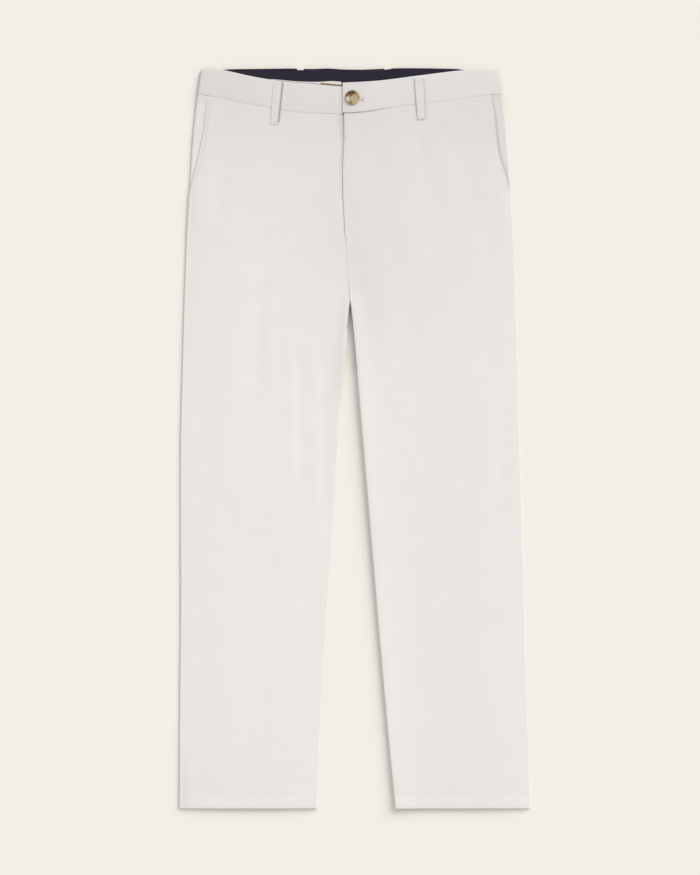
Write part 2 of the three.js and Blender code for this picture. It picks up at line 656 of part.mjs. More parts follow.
function zipSlider() {
  const { startY, endY, width, height } = ZIP_SLIDER;
  const geometry = new THREE.BoxGeometry(width, endY - startY, height);
  const y = (startY + endY) / 2;
  const x = outlineX('leftInner', y) + ZIP_COIL.centre;
  geometry.translate(x, y, ZIP_TAPE.base + ZIP_TAPE.height + GAP + height / 2);
  return namedMesh('fly_zip_slider', METAL, 0.4, geometry);
}

// The waist button: a turned disc with a raised rim, less its four holes
function waistButton() {
  const { CrossSection, Manifold } = solids;
  const disc = new CrossSection([BUTTON_PROFILE]).revolve(BUTTON.segments);
  const height = Math.max(...BUTTON_PROFILE.map((point) => point[1]));
  const holes = [0, 1, 2, 3].map((quarter) => {
    const angle = degToRad(BUTTON_HOLE.firstAngle + 90 * quarter);
    const x = BUTTON_HOLE.offset * Math.cos(angle);
    const y = BUTTON_HOLE.offset * Math.sin(angle);
    const { radius, segments } = BUTTON_HOLE;
    return Manifold.cylinder(height + 2, radius, radius, segments).translate([x, y, -1]);
  });
  const { vertProperties, triVerts } = disc.subtract(Manifold.union(holes)).getMesh();
  const geometry = new THREE.BufferGeometry();
  geometry.setAttribute('position', new THREE.Float32BufferAttribute(vertProperties, 3));
  geometry.setIndex([...triVerts]);
  geometry.translate(BUTTON.x, BUTTON.y, BAND_TOP + BAND_LAP.rise + GAP);
  return namedMesh('waist_button', HORN, 0.35, geometry);
}

const trousers = new THREE.Group();
trousers.name = 'chino_trousers';
for (const side of ['right', 'left']) {
  trousers.add(frontPanel(side), backPanel(side), pocketSide(side), frontBand(side));
}
for (const loop of FRONT_LOOPS) {
  trousers.add(frontLoop(loop));
}
for (const loop of BACK_LOOPS) {
  trousers.add(backLoop(loop));
}
trousers.add(backBand(), waistLining(), innerEdge(), piping());
trousers.add(zipTape(), zipSlider(), waistButton());

export default trousers;
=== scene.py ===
import math

import bmesh
import bpy
import numpy as np
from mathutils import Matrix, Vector, noise
from mathutils.bvhtree import BVHTree


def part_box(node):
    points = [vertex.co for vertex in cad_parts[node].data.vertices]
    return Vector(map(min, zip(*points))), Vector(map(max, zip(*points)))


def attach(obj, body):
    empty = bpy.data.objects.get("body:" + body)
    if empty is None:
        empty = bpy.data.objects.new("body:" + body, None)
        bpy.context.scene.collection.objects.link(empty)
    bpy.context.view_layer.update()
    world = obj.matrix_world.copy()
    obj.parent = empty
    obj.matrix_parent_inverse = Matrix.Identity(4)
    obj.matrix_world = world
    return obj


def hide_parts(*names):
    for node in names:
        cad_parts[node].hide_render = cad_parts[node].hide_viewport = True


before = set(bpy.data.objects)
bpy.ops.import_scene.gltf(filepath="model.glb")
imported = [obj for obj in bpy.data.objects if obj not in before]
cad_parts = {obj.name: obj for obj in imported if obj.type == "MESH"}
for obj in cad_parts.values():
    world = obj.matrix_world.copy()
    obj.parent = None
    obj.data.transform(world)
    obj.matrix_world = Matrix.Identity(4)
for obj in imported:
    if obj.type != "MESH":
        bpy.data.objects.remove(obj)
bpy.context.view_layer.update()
scene = bpy.context.scene
scene.view_settings.view_transform = "Standard"
MM = 0.001

# The camera looks straight down on the trousers from far above, as the photograph does.
# The frame is 1036 by 1295 mm at the height of the cloth's upper side.
CAMERA_HEIGHT = 6.0
CAMERA_PLACE = (-7.4 * MM, 1.1 * MM)
FRAME_HEIGHT = 1.295
CLOTH_TOP = 0.007
SENSOR_HEIGHT = 36
camera_data = bpy.data.cameras.new("camera")
camera_data.sensor_fit = "VERTICAL"
camera_data.sensor_height = SENSOR_HEIGHT
camera_data.lens = SENSOR_HEIGHT * CAMERA_HEIGHT / FRAME_HEIGHT
camera_data.clip_end = 50
camera = bpy.data.objects.new("camera", camera_data)
camera.location = (*CAMERA_PLACE, CLOTH_TOP + CAMERA_HEIGHT)
scene.collection.objects.link(camera)
scene.camera = camera

# The floor is plain, pale cream and matt. It lies just under the cloth.
FLOOR_COLOUR = (0.90, 0.868, 0.80, 1)
FLOOR_SIZE = 14
FLOOR_Z = -0.0003
bpy.ops.mesh.primitive_plane_add(size=FLOOR_SIZE, location=(0, 0, FLOOR_Z))
floor = bpy.context.object
floor.name = "floor"
floor_material = bpy.data.materials.new("floor")
floor_material.use_nodes = True
floor_shader = floor_material.node_tree.nodes["Principled BSDF"]
floor_shader.inputs["Base Color"].default_value = FLOOR_COLOUR
floor_shader.inputs["Roughness"].default_value = 1
floor_shader.inputs["Specular IOR Level"].default_value = 0
floor.data.materials.append(floor_material)

# Soft studio light: an even pale surround, and a broad far lamp up and to the right.
SURROUND_COLOUR = (1, 0.995, 0.99, 1)
SURROUND_STRENGTH = 0.63
LAMP_PLACE = (2.34, 2.42, 2.32)
LAMP_STRENGTH = 2.04
LAMP_SPREAD = math.radians(44)
world = bpy.data.worlds.new("surround")
scene.world = world
world.use_nodes = True
background = world.node_tree.nodes["Background"]
background.inputs["Color"].default_value = SURROUND_COLOUR
background.inputs["Strength"].default_value = SURROUND_STRENGTH
lamp_data = bpy.data.lights.new("lamp", "SUN")
lamp_data.energy = LAMP_STRENGTH
lamp_data.angle = LAMP_SPREAD
lamp = bpy.data.objects.new("lamp", lamp_data)
lamp.location = LAMP_PLACE
lamp.rotation_euler = Vector(LAMP_PLACE).to_track_quat("Z", "Y").to_euler()
scene.collection.objects.link(lamp)


# Off-white cotton twill: fine diagonal ribs with the threads across them, a soft slubby
# variation in colour, and a matt finish with a faint fuzz at its edges. Each piece's painted
# shading darkens it from place to place and lightens it in a few, and painted shade lies beside
# its seams.
SEAM_SHADE = (0.10, 0.075, 0.06, 1)
THREAD_SPACING = 0.45
# How much the threads count beside the ribs, and how much both count beside the slubs
THREAD_SHARE = 0.45
WEAVE_SHARE = 0.22
WEAVE_DEPTH = 0.06


def set_or_link(material, socket, value):
    """Gives a socket a value, or links another node's output to it."""
    if isinstance(value, bpy.types.NodeSocket):
        material.node_tree.links.new(value, socket)
    else:
        socket.default_value = value


def worked_out(material, operation, *values):
    """What a maths node gives for its values, each a number or another node's output."""
    node = material.node_tree.nodes.new("ShaderNodeMath")
    node.operation = operation
    for socket, value in zip(node.inputs, values):
        set_or_link(material, socket, value)
    return node.outputs[0]


def mixed(material, factor, first, second, blend="MIX"):
    """Two colours mixed by a factor, each of them a value or another node's output."""
    node = material.node_tree.nodes.new("ShaderNodeMix")
    node.data_type = "RGBA"
    node.blend_type = blend
    for name, value in (("Factor", factor), ("A", first), ("B", second)):
        set_or_link(material, node.inputs[name], value)
    return node.outputs["Result"]


def cloth_material(name, colour, dark, rib=0.75, fuzz=0.15):
    """Twill with ribs this many mm apart, between two close colours."""
    material = bpy.data.materials.new(name)
    material.use_nodes = True
    nodes = material.node_tree.nodes
    links = material.node_tree.links
    shader = nodes["Principled BSDF"]
    shader.inputs["Roughness"].default_value = 0.92
    shader.inputs["Specular IOR Level"].default_value = 0.12
    shader.inputs["Sheen Weight"].default_value = fuzz
    shader.inputs["Sheen Roughness"].default_value = 0.6
    place = nodes.new("ShaderNodeTexCoord")
    # At a scale of 1 bands along Y are 2 pi / 20 apart, and diagonal ones 2 pi / (10 root 2)
    ribs = nodes.new("ShaderNodeTexWave")
    ribs.wave_type = "BANDS"
    ribs.bands_direction = "DIAGONAL"
    ribs.inputs["Scale"].default_value = 2 * math.pi / (10 * rib * math.sqrt(2) * MM)
    ribs.inputs["Distortion"].default_value = 0.6
    ribs.inputs["Detail"].default_value = 1.0
    ribs.inputs["Detail Scale"].default_value = 0.4
    links.new(place.outputs["Object"], ribs.inputs["Vector"])
    threads = nodes.new("ShaderNodeTexWave")
    threads.wave_type = "BANDS"
    threads.bands_direction = "Y"
    threads.inputs["Scale"].default_value = 2 * math.pi / (20 * THREAD_SPACING * MM)
    threads.inputs["Distortion"].default_value = 0.8
    links.new(place.outputs["Object"], threads.inputs["Vector"])
    slub = nodes.new("ShaderNodeTexNoise")
    slub.inputs["Scale"].default_value = 26
    slub.inputs["Detail"].default_value = 5
    slub.inputs["Roughness"].default_value = 0.62
    links.new(place.outputs["Object"], slub.inputs["Vector"])
    weave = worked_out(
        material, "MULTIPLY_ADD", threads.outputs["Fac"], THREAD_SHARE, ribs.outputs["Fac"]
    )
    shade = worked_out(material, "MULTIPLY_ADD", weave, WEAVE_SHARE, slub.outputs["Fac"])
    ramp = nodes.new("ShaderNodeValToRGB")
    ramp.color_ramp.elements[0].position = 0.35
    ramp.color_ramp.elements[1].position = 0.95
    ramp.color_ramp.elements[0].color = (*dark, 1)
    ramp.color_ramp.elements[1].color = (*colour, 1)
    links.new(shade, ramp.inputs["Fac"])
    # Painted shading, stored on each piece's points, multiplies the colour
    painted_shading = nodes.new("ShaderNodeAttribute")
    painted_shading.attribute_name = "painted_shading"
    shaded_colour = mixed(material, 1, ramp.outputs["Color"], painted_shading.outputs["Color"], "MULTIPLY")
    # Beside a seam: how far from it over how wide its shade is, then how strong
    seam = nodes.new("ShaderNodeAttribute")
    seam.attribute_name = "seam"
    parts = nodes.new("ShaderNodeSeparateXYZ")
    links.new(seam.outputs["Vector"], parts.inputs["Vector"])
    squared = worked_out(material, "MULTIPLY", parts.outputs["X"], parts.outputs["X"])
    fall = worked_out(material, "POWER", 1 / math.e, squared)
    share = worked_out(material, "MULTIPLY", fall, parts.outputs["Y"])
    links.new(mixed(material, share, shaded_colour, SEAM_SHADE), shader.inputs["Base Color"])
    bump = nodes.new("ShaderNodeBump")
    bump.inputs["Strength"].default_value = 0.6
    bump.inputs["Distance"].default_value = WEAVE_DEPTH * MM
    links.new(weave, bump.inputs["Height"])
    links.new(bump.outputs["Normal"], shader.inputs["Normal"])
    return material


twill = cloth_material("twill", (0.862, 0.822, 0.800), (0.832, 0.790, 0.766))


# Every cloth piece is a finer copy of its solid: the triangles are joined to quads, the
# cut edges stay crisp, and the rest is smoothed.
def select_only(piece):
    """Leaves one object selected and active."""
    bpy.ops.object.select_all(action="DESELECT")
    piece.select_set(True)
    bpy.context.view_layer.objects.active = piece


def refined(node, name, levels, material):
    """A smoothed copy of a node's solid, which stands for it."""
    piece = bpy.data.objects.new(name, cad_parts[node].data.copy())
    scene.collection.objects.link(piece)
    piece.data.materials.clear()
    select_only(piece)
    bpy.ops.mesh.customdata_custom_splitnormals_clear()
    bpy.ops.object.mode_set(mode="EDIT")
    bpy.ops.mesh.select_all(action="SELECT")
    bpy.ops.mesh.remove_doubles(threshold=1e-6)
    bpy.ops.mesh.tris_convert_to_quads(
        face_threshold=math.radians(60), shape_threshold=math.radians(130)
    )
    bpy.ops.mesh.select_mode(type="EDGE")
    bpy.ops.mesh.select_all(action="DESELECT")
    bpy.ops.mesh.edges_select_sharp(sharpness=math.radians(48))
    bpy.ops.transform.edge_crease(value=0.9)
    bpy.ops.object.mode_set(mode="OBJECT")
    smooth = piece.modifiers.new("smooth", "SUBSURF")
    smooth.levels = levels
    smooth.boundary_smooth = "PRESERVE_CORNERS"
    bpy.ops.object.modifier_apply(modifier="smooth")
    piece.data.materials.append(material)
    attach(piece, "root")
    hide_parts(node)
    return piece


# The two front panels are cut from one layer of twill. They lie with soft folds along the
# legs, which the photograph shows as broad faint bands of shade, and with a slight ripple.
FRONT_FOLDS = (
    # x0, y0, x1, y1, spread, height, all in mm
    (-132, 300, -146, 90, 9, -0.35),
    (-119, 250, -128, 60, 10, 0.3),
    (-84, 120, -80, -60, 8, -0.35),
    (-96, 150, -92, -40, 9, 0.25),
    (-49, 110, -41, -130, 8, -0.35),
    (-62, 130, -58, -90, 9, 0.28),
    (-240, -150, -233, -320, 9, -0.3),
    (-178, 250, -184, 60, 14, 0.3),
    (-206, 392, -198, 320, 9, -0.3),
    (92, 452, 112, 350, 10, -0.35),
    (126, 440, 150, 330, 12, 0.25),
    (30, 430, 42, 300, 12, -0.25),
    (56, 300, 78, 160, 16, -0.3),
    (196, 320, 206, 190, 14, -0.3),
    (226, 40, 204, -150, 9, -0.4),
    (205, 60, 188, -90, 9, 0.3),
    (90, 70, 96, -30, 10, -0.2),
    (140, 30, 146, -120, 12, 0.2),
    (60, -140, 74, -330, 14, 0.22),
    (180, -200, 190, -400, 18, 0.2),
    (-150, -503, -62, -514, 6, -0.3),
    (-232, -520, -210, -524, 7, -0.35),
    (196, -514, 236, -518, 8, -0.25),
    (-56, 452, -26, 470, 7, -0.2),
    (-200, -150, -190, -400, 20, 0.22),
)
FRONT_RIPPLE = 0.22
# How wide and long the ripple's waves are in mm, and where in the noise they lie
RIPPLE_WIDE = 55
RIPPLE_LONG = 95
RIPPLE_LAYER = 3.0
# A sewn edge is shifted up to the first of these many mm from its line, and what lies
# past the second isn't
SEWN_EDGE = (0.5, 3.5)
# The heights between which a panel's lower side gives way to its upper side
UPPER_SIDE = (2.8, 4.8)


def places_of(piece):
    """The piece's points in mm, one row each."""
    places = np.empty(len(piece.data.vertices) * 3)
    piece.data.vertices.foreach_get("co", places)
    return places.reshape(-1, 3) / MM


def put_places(piece, places):
    """Moves the piece's points to these places in mm."""
    piece.data.vertices.foreach_set("co", (places * MM).ravel())
    piece.data.update()


def from_line(places, line):
    """How far each point is in mm from a line of (x, y) places, along X and along Y."""
    offset = np.full((len(places), 2), 1e6)
    for (x0, y0), (x1, y1) in zip(line, line[1:]):
        dx, dy = x1 - x0, y1 - y0
        share = ((places[:, 0] - x0) * dx + (places[:, 1] - y0) * dy) / (dx * dx + dy * dy)
        share = np.clip(share, 0, 1)
        away = places[:, :2] - np.stack((x0 + share * dx, y0 + share * dy), axis=1)
        nearer = np.hypot(*away.T) < np.hypot(*offset.T)
        offset[nearer] = away[nearer]
    return offset


def part_way(values, start, end):
    """How far values have come from a start to an end: 0 before it, and 1 past it."""
    return np.clip((values - start) / (end - start), 0, 1)


def press_folds(piece, folds, ripple=0.0):
    """Moves a piece's points up and down along soft lines, with a slight even ripple."""
    places = places_of(piece)
    spots = [Vector((x / RIPPLE_WIDE, y / RIPPLE_LONG, RIPPLE_LAYER)) for x, y, z in places]
    places[:, 2] += ripple * np.array([noise.noise(spot) for spot in spots])
    for x0, y0, x1, y1, spread, height in folds:
        away = np.hypot(*from_line(places, ((x0, y0), (x1, y1))).T)
        places[:, 2] += height * np.exp(-((away / spread) ** 2))
    put_places(piece, places)


def draw_to_seam(piece, line, shift):
    """Shifts the points of a piece's sewn edge, which lies along a line, by (x, y) in mm."""
    places = places_of(piece)
    away = np.hypot(*from_line(places, line).T)
    share = 1 - part_way(away, *SEWN_EDGE)
    places[:, :2] += share[:, None] * np.array(shift)
    put_places(piece, places)


def thin_edge(piece, line, share, spread, base):
    """Lowers the upper side of a piece toward a line, by a share of its height over a base."""
    places = places_of(piece)
    away = np.hypot(*from_line(places, line).T)
    rise = np.clip(places[:, 2] - base, 0, None)
    places[:, 2] -= share * rise * np.exp(-((away / spread) ** 2))
    put_places(piece, places)


def lift_side(piece, line, spread, heights):
    """Raises the upper side of a piece along a line. heights has rows of (y, height)."""
    places = places_of(piece)
    away = np.hypot(*from_line(places, line).T)
    lift = np.interp(places[:, 1], *zip(*heights)) * np.exp(-((away / spread) ** 2))
    places[:, 2] += part_way(places[:, 2], *UPPER_SIDE) * lift
    put_places(piece, places)


def sharpen_side(piece, line, width, share=0.7):
    """Draws the points within a width in mm of a side's line out toward it, so that the
    cloth turns over more sharply there."""
    places = places_of(piece)
    offset = from_line(places, line)
    away = np.hypot(*offset.T)
    places[:, :2] -= (share * (1 - part_way(away, 0, width)))[:, None] * offset
    put_places(piece, places)


# The lines that the sides, seams and edges run along, in mm
SIDE_RIGHT_OUTER = (
    (-260.3, -549), (-257.9, -287), (-258.2, -2), (-252.8, 202), (-249.3, 300), (-246.5, 353),
    (-245.8, 362),
)
SIDE_RIGHT_INNER = ((-55.5, -549), (-43.0, -287), (-24.6, -2), (-7.6, 202))
SIDE_LEFT_INNER = ((58.9, -549), (35.0, -287), (10.9, -2), (-7.2, 202))
SIDE_LEFT_OUTER = (
    (260.3, -549), (251.8, -287), (243.7, -2), (238.1, 202), (234.7, 300), (231.3, 353),
    (230.7, 362),
)
MOUTH_RIGHT = (
    (-217.6, 507), (-219.3, 494.7), (-222.4, 475), (-225.2, 450), (-230.6, 424),
    (-235, 404), (-239.8, 386), (-242.9, 373), (-245.6, 366),
)
MOUTH_LEFT = (
    (202.6, 509), (205, 494), (208.1, 478), (210.4, 450), (213.7, 424), (218.9, 404),
    (225, 386), (227.2, 373), (229.7, 366),
)
WAIST_RIGHT = (
    (-236, 510), (-218, 507.3), (-194, 503), (-157, 494.7), (-124, 488.5), (-87, 482.6),
    (-62, 481.3), (-43, 480.8), (-30, 480.4), (-19, 479.3),
)
WAIST_LEFT = (
    (-18.4, 482.2), (3, 482.4), (13, 483), (24, 485.2), (53, 490.1), (90, 494.7),
    (133, 499.4), (160, 503.5), (198, 508.8), (221, 509.6),
)
BAND_END = ((-18.4, 526), (-18.4, 482.2))
FLY = ((-16.2, 482), (-16.0, 471), (-15.6, 447), (-18.1, 400), (-17.2, 353), (-14.6, 305))
CENTRE_SEAM = ((-14.6, 305), (-11.4, 258), (-7.4, 206))
LOOP_LEFT_SIDES = (((-120.6, 528), (-125.0, 464.5)), ((87.6, 531), (92.6, 475)))
LOOP_RIGHT_SIDES = (((-107.2, 526), (-113.4, 468)), ((101.4, 531), (104.8, 475)))
FORK_RIGHT = ((-11.2, 162), (-8.1, 195))
FORK_LEFT = ((1.9, 100), (-6.6, 195))
BAND_SIDE_LEFT = ((211.5, 544), (217.2, 510))
BAND_STITCH = ((-12, 524.4), (8, 525.2), (26, 525.4))
BUTTONHOLE = ((4, 501), (10.6, 501))

# Painted shade along those lines, for the shadows beside edges, seams, loops and the fork, and
# the buttonhole's dark slit: the line, the way that the shade spreads, how far that way, how far
# the other way in mm, and how strong it is
SHADES = (
    (FORK_RIGHT, (1, 0), 1.4, 1.2, 0.55),
    (FORK_LEFT, (-1, 0), 1.6, 1.1, 0.75),
    (BAND_END, (-1, 0), 2.6, 0.4, 0.08),
    (BAND_SIDE_LEFT, (-1, 0), 2.2, 3.0, 0.10),
    (BAND_STITCH, (0, 1), 1.0, 1.0, 0.05),
    (BUTTONHOLE, (0, 1), 0.4, 0.4, 0.15),
    (MOUTH_LEFT[:3], (-1, 0), 1.6, 1.2, 0.24),
    (MOUTH_LEFT[2:6], (-1, 0), 2.3, 2.3, 0.24),
    (MOUTH_LEFT[5:], (-1, 0), 2.0, 4.0, 0.17),
    (WAIST_RIGHT[5:], (0, -1), 1.4, 1.0, 0.05),
    (LOOP_RIGHT_SIDES[0], (-1, 0), 1.7, 1.7, 0.52),
    (LOOP_RIGHT_SIDES[1], (-1, 0), 1.7, 1.9, 0.18),
    (LOOP_LEFT_SIDES[1], (-1, 0), 1.5, 1.5, 0.06),
)

# Beside the flap's edge only the right front is shaded, also where it goes under the flap
FLY_SHADES = (
    (FLY[:3], (-1, 0), 6.5, 9.0, 0.34),
    (FLY[2:4], (-1, 0), 5.0, 9.0, 0.27),
    (FLY[3:5], (-1, 0), 4.2, 9.0, 0.19),
    (FLY[4:], (-1, 0), 3.2, 9.0, 0.11),
)

# Painted shading: how much darker the cloth is painted from the hems up to the waist, and
# broad patches of painted shade where it is a little darker: the middle, half widths and
# strength, which is below 0 where a patch is painted lighter
PAINTED_SHADE_RISE = (
    (-548, 0.985), (-513, 0.972), (-440, 0.99), (-300, 1.0), (57, 1.0), (130, 0.992),
    (190, 0.985), (234, 0.98), (279, 0.975), (323, 0.967), (367, 0.955), (404, 0.945),
    (434, 0.93), (474, 0.90), (560, 0.90),
)
PAINTED_SHADING_PATCHES = (
    (14, 300, 42, 110, 0.03),
    (70, 235, 120, 85, 0.018),
    (-45, 330, 40, 90, 0.008),
    (-190, 300, 60, 90, -0.006),
    (165, -150, 120, 420, 0.022),
    (12, 130, 28, 110, 0.035),
    (30, -90, 24, 150, 0.03),
    (-24, 165, 16, 60, -0.035),
    (14, 190, 26, 55, 0.028),
    (-5, 285, 30, 40, 0.01),
    (-50, -150, 40, 300, 0.010),
    (-5, 380, 60, 110, 0.014),
)

# A seam's shade ends at this many times its spread. Far from all seams it is put at 9.
SHADE_REACH = 2.3
SHADE_FAR = 9


def paint_shading(piece, across=((0, 1.0),), rim=0.0, shades=()):
    """Gives each point its painted shading. across is a row of (x, factor) places for the whole
    piece, rim is how much darker its steep sides are painted, and shades are the seams painted
    with shade."""
    places = places_of(piece)
    painted_shading = np.interp(places[:, 0], *zip(*across)) * np.interp(places[:, 1], *zip(*PAINTED_SHADE_RISE))
    for x, y, wide, high, strength in PAINTED_SHADING_PATCHES:
        far = ((places[:, 0] - x) / wide) ** 2 + ((places[:, 1] - y) / high) ** 2
        painted_shading *= 1 - strength * np.exp(-far)
    normals = np.empty(len(places) * 3)
    piece.data.vertices.foreach_get("normal", normals)
    painted_shading *= 1 - rim * (1 - np.clip(normals.reshape(-1, 3)[:, 2], 0, 1))
    colours = np.repeat(painted_shading, 4).reshape(-1, 4)
    colours[:, 3] = 1
    attribute = piece.data.color_attributes.new("painted_shading", "FLOAT_COLOR", "POINT")
    attribute.data.foreach_set("color", colours.ravel())
    # The seam whose shade is strongest here: its distance over its spread, and its strength.
    # Past its reach the strength is nothing, so that no shade shows between two seams.
    seams = np.zeros((len(places), 3))
    seams[:, 0] = SHADE_FAR
    for line, toward, far, near, strength in shades:
        offset = from_line(places, line)
        side = np.sign(offset @ np.array(toward))
        away = side * np.hypot(*offset.T) / np.where(side > 0, far, near)
        nearer = np.abs(away) < np.abs(seams[:, 0])
        seams[nearer, 0] = away[nearer]
        seams[nearer, 1] = strength
    seams[np.abs(seams[:, 0]) > SHADE_REACH, 1] = 0
    attribute = piece.data.attributes.new("seam", "FLOAT_VECTOR", "POINT")
    attribute.data.foreach_set("vector", seams.ravel())


front_right = refined("front_panel_right", "cloth_front_right", 3, twill)
front_left = refined("front_panel_left", "cloth_front_left", 3, twill)
for front in (front_right, front_left):
    press_folds(front, FRONT_FOLDS, FRONT_RIPPLE)
# The flap's top rises with the waistband's end, over the right front and the zip
FLAP_RISE = 0.35
FLAP_RISE_X = (62, 22)
FLAP_RISE_Y = (395, 475)
places = places_of(front_left)
along = part_way(places[:, 0], *FLAP_RISE_X)
up = part_way(places[:, 1], *FLAP_RISE_Y)
places[:, 2] += FLAP_RISE * along ** 2 * (3 - 2 * along) * up ** 2 * (3 - 2 * up)
put_places(front_left, places)
# The sewn edges close up, and the sides and the free edges lie flatter
TO_WAIST = (0, 0.17)
draw_to_seam(front_right, WAIST_RIGHT, TO_WAIST)
draw_to_seam(front_left, WAIST_LEFT, TO_WAIST)
draw_to_seam(front_right, CENTRE_SEAM, (0.16, 0))
draw_to_seam(front_right, CENTRE_SEAM[1:], (0.10, 0))
thin_edge(front_right, SIDE_RIGHT_OUTER, share=0.5, spread=10, base=2.8)
thin_edge(front_left, SIDE_LEFT_OUTER, share=0.3, spread=10, base=2.8)
thin_edge(front_left, FLY[:4], share=0.28, spread=5, base=4.5)
thin_edge(front_right, MOUTH_RIGHT, share=0.6, spread=5, base=4.5)
thin_edge(front_left, MOUTH_LEFT, share=0.2, spread=5, base=4.5)
# The seams meet in a thick spot at the fork, so the cloth stands higher down from there
LIFT_RIGHT = ((-60, 0), (60, 1.0), (130, 2.6), (192, 2.8), (224, 0.4))
LIFT_LEFT = ((-400, 0), (-200, 0.6), (0, 2.2), (130, 3.5), (192, 3.7), (224, 0.6))
lift_side(front_right, SIDE_RIGHT_INNER, 12, LIFT_RIGHT)
lift_side(front_left, SIDE_LEFT_INNER, 18, LIFT_LEFT)
TURN_WIDTH = 4.5
for side_line in (SIDE_RIGHT_OUTER, SIDE_RIGHT_INNER):
    sharpen_side(front_right, side_line, TURN_WIDTH)
for side_line in (SIDE_LEFT_OUTER, SIDE_LEFT_INNER, FLY):
    sharpen_side(front_left, side_line, TURN_WIDTH)
# Painted shading, with the steep sides painted a little darker, and painted shade beside the
# seams and, on the right front, beside the flap's edge
paint_shading(front_right, rim=0.04, shades=SHADES + FLY_SHADES)
paint_shading(front_left, rim=0.04, shades=SHADES)

# The two back panels lie on the surface under the fronts, pressed flat but for shallow
# creases under the seat, behind the knees and above the hems.
BACK_FOLDS = (
    # x0, y0, x1, y1, spread, height, all in mm
    (-60, 236, -128, 214, 8, 0.22),
    (-46, 262, -96, 262, 9, 0.16),
    (58, 240, 132, 206, 8, 0.22),
    (44, 268, 104, 256, 10, 0.15),
    (-186, 330, -176, 210, 11, 0.16),
    (182, 310, 170, 190, 12, 0.14),
    (-206, -96, -122, -112, 9, 0.2),
    (-180, -124, -96, -140, 8, 0.15),
    (96, -104, 186, -90, 9, 0.2),
    (112, -138, 204, -128, 8, 0.14),
    (-176, -250, -168, -420, 12, 0.13),
    (150, -230, 158, -400, 13, 0.13),
    (-222, -503, -132, -511, 7, 0.16),
    (104, -506, 196, -500, 7, 0.15),
)
# Shades along the sewing of the back: the hems and the centre seam, as for SHADES
BACK_SHADES = (
    (((-256, -531), (-58, -531)), (0, 1), 0.5, 0.5, 0.12),
    (((62, -531), (256, -531)), (0, 1), 0.5, 0.5, 0.12),
    (((-7.4, 206), (-7.4, 509)), (-1, 0), 1.8, 1.8, 0.12),
)
back_right = refined("back_panel_right", "cloth_back_right", 2, twill)
back_left = refined("back_panel_left", "cloth_back_left", 2, twill)
for back in (back_right, back_left):
    press_folds(back, BACK_FOLDS)
    paint_shading(back, shades=BACK_SHADES)

# The pockets' side pieces are twill too, and show between each slant edge and the side.
# Each is sewn to the waistband along its top, and to the back panel along the side.
side_right = refined("pocket_side_right", "cloth_pocket_right", 3, twill)
side_left = refined("pocket_side_left", "cloth_pocket_left", 3, twill)
# Their tops are raised and drawn up to the waistband's edge
for side, waist in ((side_right, WAIST_RIGHT[:3]), (side_left, WAIST_LEFT[-3:])):
    lift_side(side, waist, 9, ((480, 2.2), (510, 2.2)))
    draw_to_seam(side, waist, TO_WAIST)
# Painted shading: the right side piece is painted a little lighter, the left one darker toward
# its outer side, with painted shade beside the seams
paint_shading(side_right, ((0, 1.025),), shades=SHADES)
paint_shading(side_left, ((205, 0.985), (226, 0.95)), shades=SHADES)

# The waistband is doubled twill in three runs, sewn to the tops of the panels. Its left end
# laps over the right one at the fly, where the button holds it.
band_right = refined("waistband_front_right", "cloth_band_right", 3, twill)
band_left = refined("waistband_front_left", "cloth_band_left", 3, twill)
band_back = refined("waistband_back", "cloth_band_back", 3, twill)
thin_edge(band_left, BAND_END, share=0.35, spread=6, base=6.5)
# Painted shading across the front bands by x, darker toward the right band's end and a little
# lighter toward the left band's, with their steep sides painted a little darker
BAND_PAINTED_SHADING = ((-210, 0.95), (-120, 0.975), (-20, 0.985), (60, 1.0), (150, 1.02))
for band in (band_right, band_left):
    paint_shading(band, BAND_PAINTED_SHADING, rim=0.06, shades=SHADES)
paint_shading(band_back)

# Inside the back waist is a navy cotton tape, sewn to the back band along its edges. It is
# seen from above as a long crescent.
navy = cloth_material("navy", (0.030, 0.027, 0.046), (0.020, 0.018, 0.031), rib=1.1, fuzz=0.05)
lining = refined("waist_lining_back", "cloth_lining", 3, navy)
# Its upper edge stands a little above the waist, but for its two thin ends: x, rise, and
# the heights between which the cloth follows
LINING_RISE = ((-196, 0), (-184, 1.0), (150, 1.0), (158, 0), (168, -1.5))
LINING_RISE_Y = (530, 542)
places = places_of(lining)
rise = np.interp(places[:, 0], *zip(*LINING_RISE))
places[:, 1] += rise * part_way(places[:, 1], *LINING_RISE_Y)
put_places(lining, places)
paint_shading(lining)

# The right band's inner edge, a fold of twill, stands up above it at the fly. A narrow tan
# cotton piping is sewn along it, and shows a little less far than its solid reaches.
tan = cloth_material("tan", (0.36, 0.26, 0.11), (0.28, 0.19, 0.075), rib=0.8)
inner_edge = refined("waist_inner_edge", "cloth_inner_edge", 3, twill)
piping = refined("waist_piping", "cloth_piping", 2, tan)
PIPING_END_X = -20
PIPING_LENGTH_SHARE = 0.87
places = places_of(piping)
places[:, 0] = PIPING_END_X + (places[:, 0] - PIPING_END_X) * PIPING_LENGTH_SHARE
put_places(piping, places)
paint_shading(inner_edge)
paint_shading(piping)

# Belt loops are narrow folded strips of twill, tacked at both ends. The front ones lie over
# the waistband, and the back ones turn over the top of the back band. The right front one
# lies flatter along its outer side.
LOOP_NODES = ("front_right", "front_left", "back_right", "back_left")
loops = [refined(f"belt_loop_{n}", f"cloth_loop_{n}", 3, twill) for n in LOOP_NODES]
thin_edge(loops[0], LOOP_LEFT_SIDES[0], share=0.6, spread=6, base=6.2)
